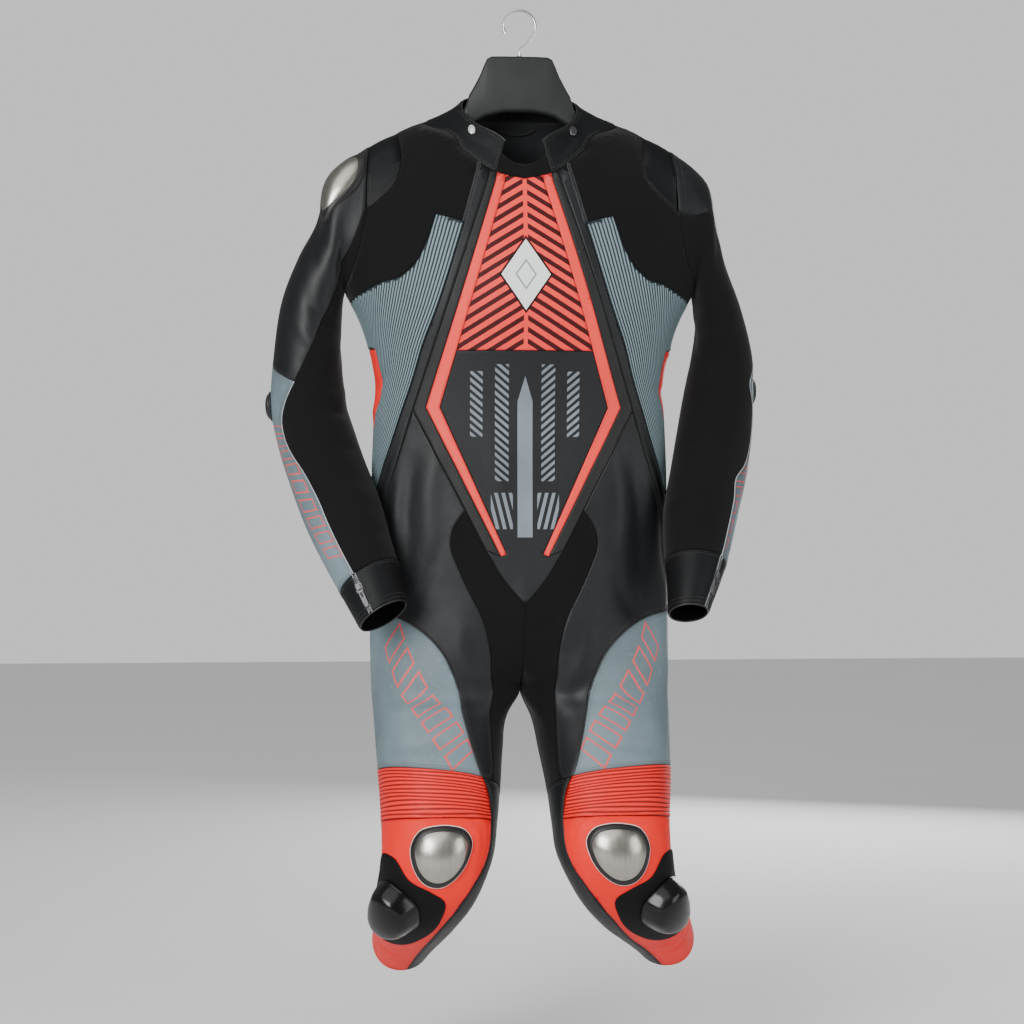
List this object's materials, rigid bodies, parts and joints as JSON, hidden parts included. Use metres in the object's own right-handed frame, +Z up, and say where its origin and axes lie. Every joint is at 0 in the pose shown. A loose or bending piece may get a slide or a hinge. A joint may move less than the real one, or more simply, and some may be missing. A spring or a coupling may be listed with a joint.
{
  "type": "motorcycle race suit on hanger",
  "caption": "One-piece leather motorcycle race suit with knee and shoulder plates and knee sliders, hung open and empty on a broad moulded hanger with a wire hook.",
  "frame": {"origin": "the inside top of the hanger's hook, where a rail holds it", "axes": "+Z up, -Y to the suit's front, -X to the wearer's right"},
  "size_m": [0.7425, 0.3147, 1.4457],
  "materials": {
    "black_leather": "satin grain leather",
    "black_stretch_cloth": "matt stretch weave",
    "coral_leather": "satin coral red leather",
    "grey_blue_leather": "satin grey-blue leather",
    "black_stretch_panel": "matt stretch panel",
    "brushed_plate": "satin metal plate",
    "black_moulded_plastic": "glossy moulded plastic",
    "hanger_plastic": "satin moulded plastic",
    "hook_steel": "plated steel wire",
    "dark_zip_metal": "dark plated zip metal"
  },
  "bodies": {
    "suit": {"back": "black_leather", "band_l": "coral_leather", "band_r": "coral_leather", "border_l": "black_leather", "border_r": "black_leather", "chest_l": "black_stretch_cloth", "chest_r": "black_stretch_cloth", "collar": "black_leather", "cuff_l": "black_leather", "cuff_r": "black_leather", "cuff_slider_l": "dark_zip_metal", "cuff_slider_r": "dark_zip_metal", "elbow_cup_l": "black_moulded_plastic", "elbow_cup_r": "black_moulded_plastic", "forearm_l": "grey_blue_leather", "forearm_r": "grey_blue_leather", "groin_l": "black_stretch_cloth", "groin_r": "black_stretch_cloth", "hanger_body": "hanger_plastic", "hanger_hook": "hook_steel", "hip_l": "black_leather", "hip_r": "black_leather", "inner_sleeve_l": "black_stretch_cloth", "inner_sleeve_r": "black_stretch_cloth", "kite_lower": "black_stretch_panel", "kite_upper": "coral_leather", "knee_l": "coral_leather", "knee_plate_l": "brushed_plate", "knee_plate_r": "brushed_plate", "knee_r": "coral_leather", "knee_ribs_l": "coral_leather", "knee_ribs_r": "coral_leather", "knee_slider_l": "black_moulded_plastic", "knee_slider_r": "black_moulded_plastic", "leg_back_l": "black_leather", "leg_back_r": "black_leather", "ribs_l": "grey_blue_leather", "ribs_r": "grey_blue_leather", "seat": "black_leather", "shoulder_cup_l": "brushed_plate", "shoulder_cup_r": "brushed_plate", "shoulder_l": "black_leather", "shoulder_r": "black_leather", "side_l": "coral_leather", "side_r": "coral_leather", "slider_base_l": "black_moulded_plastic", "slider_base_r": "black_moulded_plastic", "snap_l": "dark_zip_metal", "snap_r": "brushed_plate", "thigh_l": "grey_blue_leather", "thigh_r": "grey_blue_leather", "throat": "black_stretch_panel", "upper_sleeve_l": "black_leather", "upper_sleeve_r": "black_leather", "zip_strip_l": "black_leather", "zip_strip_r": "black_leather"},
    "pull_tab_r": {"pull_tab_r": "dark_zip_metal"},
    "pull_tab_l": {"pull_tab_l": "dark_zip_metal"}
  },
  "joints": [
    {"name": "pull_tab_r_swing", "type": "hinge", "parent": "suit", "child": "pull_tab_r", "pos_m": [-0.24089, -0.16344, -0.86145], "axis": [-0.8045, 0.3343, -0.491], "range_deg": [0, 120]},
    {"name": "pull_tab_l_swing", "type": "hinge", "parent": "suit", "child": "pull_tab_l", "pos_m": [0.27037, -0.1568, -0.84668], "axis": [-0.6141, -0.5957, 0.5177], "range_deg": [0, 120]}
  ]
}
